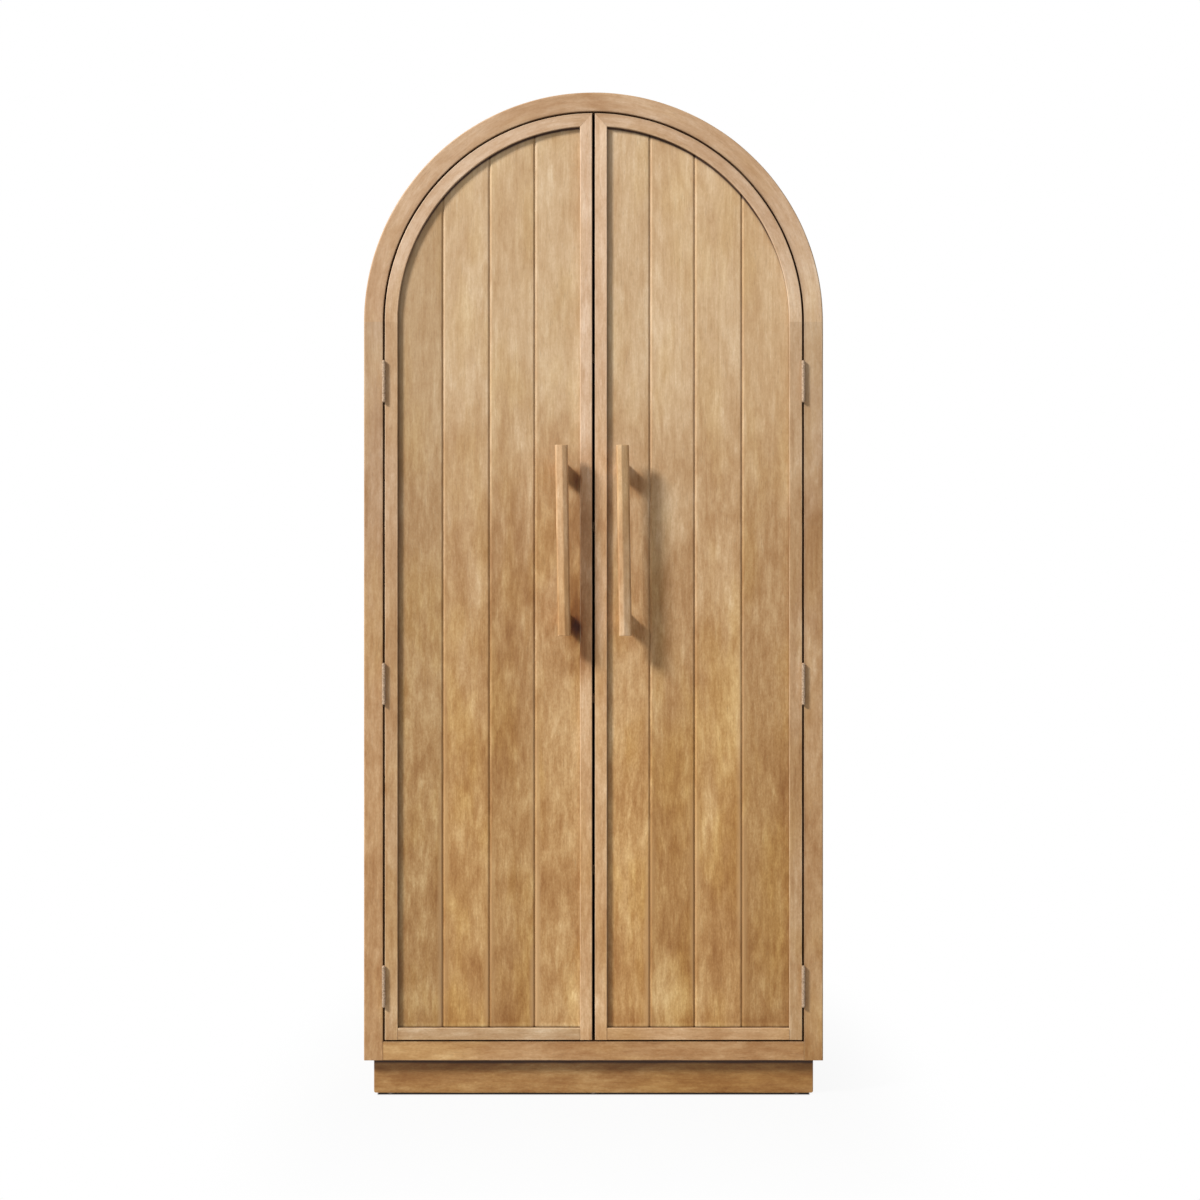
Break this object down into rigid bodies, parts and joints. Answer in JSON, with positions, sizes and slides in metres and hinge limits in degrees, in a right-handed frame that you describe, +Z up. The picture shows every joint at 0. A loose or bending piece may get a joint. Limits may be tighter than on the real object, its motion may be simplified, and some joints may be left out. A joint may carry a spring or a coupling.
{
  "type": "arched cabinet",
  "caption": "Tall free-standing wooden cabinet with a round-arched top, inset plank doors on butt hinges, long bar handles, inner shelves and a recessed plinth.",
  "frame": {"origin": "on the floor, at the middle of the whole footprint, handles included", "axes": "+X to the right seen from the front, +Y from the doors to the back, +Z up"},
  "size_m": [1, 0.501, 2.185],
  "materials": {
    "face_frame_wood": "washed and glazed light brown, satin, rubbed pale at the edges",
    "carcass_wood": "washed and glazed light brown, satin",
    "plinth_wood": "washed and glazed light brown, satin",
    "door_frame_wood": "washed and glazed light brown, satin, rubbed pale at the edges",
    "door_board_wood": "washed and glazed light brown, dark glaze left in the grooves",
    "handle_wood": "washed and glazed light brown, satin, worn by hands",
    "hinge_metal": "aged, satin",
    "screw_steel": "zinc plated",
    "catch_plastic": "matte brown",
    "glide_nylon": "matte"
  },
  "bodies": {
    "case": {"back_panel": "carcass_wood", "back_panel_screws": "screw_steel", "barrel_top": "carcass_wood", "case_floor": "carcass_wood", "case_hinge_screws": "screw_steel", "catch_screws": "screw_steel", "face_arch_segment_1": "face_frame_wood", "face_arch_segment_2": "face_frame_wood", "face_arch_segment_3": "face_frame_wood", "face_arch_segment_4": "face_frame_wood", "face_bottom_rail": "face_frame_wood", "fixed_shelf": "carcass_wood", "floor_glides": "glide_nylon", "hinge_pins": "hinge_metal", "left_case_hinge_leaves": "hinge_metal", "left_face_stile": "face_frame_wood", "left_side_panel": "carcass_wood", "loose_shelf_1": "carcass_wood", "loose_shelf_2": "carcass_wood", "loose_shelf_3": "carcass_wood", "magnetic_catches": "catch_plastic", "plinth_corner_blocks": "plinth_wood", "plinth_front": "plinth_wood", "plinth_left": "plinth_wood", "plinth_rear": "plinth_wood", "plinth_right": "plinth_wood", "right_case_hinge_leaves": "hinge_metal", "right_face_stile": "face_frame_wood", "right_side_panel": "carcass_wood", "shelf_pins": "screw_steel", "wall_fixing_rail": "carcass_wood"},
    "left_door": {"left_door_arch_rail": "door_frame_wood", "left_door_board_1": "door_board_wood", "left_door_board_2": "door_board_wood", "left_door_board_3": "door_board_wood", "left_door_board_4": "door_board_wood", "left_door_bottom_rail": "door_frame_wood", "left_door_handle_bar": "handle_wood", "left_door_handle_posts": "handle_wood", "left_door_handle_screws": "screw_steel", "left_door_hinge_leaves": "hinge_metal", "left_door_hinge_stile": "door_frame_wood", "left_door_meeting_stile": "door_frame_wood", "left_door_screws": "screw_steel", "left_door_strike_plates": "screw_steel"},
    "right_door": {"right_door_arch_rail": "door_frame_wood", "right_door_board_1": "door_board_wood", "right_door_board_2": "door_board_wood", "right_door_board_3": "door_board_wood", "right_door_board_4": "door_board_wood", "right_door_bottom_rail": "door_frame_wood", "right_door_handle_bar": "handle_wood", "right_door_handle_posts": "handle_wood", "right_door_handle_screws": "screw_steel", "right_door_hinge_leaves": "hinge_metal", "right_door_hinge_stile": "door_frame_wood", "right_door_meeting_stile": "door_frame_wood", "right_door_screws": "screw_steel", "right_door_strike_plates": "screw_steel"}
  },
  "joints": [
    {"name": "left_door_hinge", "type": "hinge", "parent": "case", "child": "left_door", "pos_m": [-0.45625, -0.2038, 0.897], "axis": [0, 0, -1], "range_deg": [0, 180]},
    {"name": "right_door_hinge", "type": "hinge", "parent": "case", "child": "right_door", "pos_m": [0.45625, -0.2038, 0.897], "axis": [0, 0, 1], "range_deg": [0, 180]}
  ]
}
